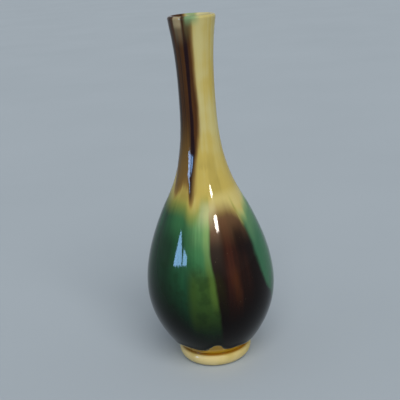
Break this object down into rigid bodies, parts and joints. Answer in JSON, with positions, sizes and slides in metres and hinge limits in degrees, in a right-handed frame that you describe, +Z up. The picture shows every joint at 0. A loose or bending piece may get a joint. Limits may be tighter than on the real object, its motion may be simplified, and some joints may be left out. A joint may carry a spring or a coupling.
{
  "type": "bud vase",
  "caption": "Glazed ceramic bud vase with a pear-shaped belly on a round foot ring, a slim flared neck and a rounded lip, in amber, green and brown poured glaze.",
  "frame": {"origin": "centre of the foot ring's resting face, on the table", "axes": "+Z up along the vase's axis towards the mouth, -Y towards the front"},
  "size_m": [0.079, 0.079, 0.21],
  "materials": {
    "clay": "matte",
    "amber_glaze": "gloss",
    "green_glaze": "gloss",
    "brown_glaze": "gloss"
  },
  "bodies": {
    "root": {"foot_ring": "clay", "bowl": "clay", "shoulder": "clay", "neck": "clay", "amber_glaze": "amber_glaze", "green_glaze_left": "green_glaze", "brown_glaze_front": "brown_glaze", "green_glaze_right": "green_glaze", "brown_glaze_back": "brown_glaze", "brown_glaze_neck": "brown_glaze"}
  },
  "joints": []
}
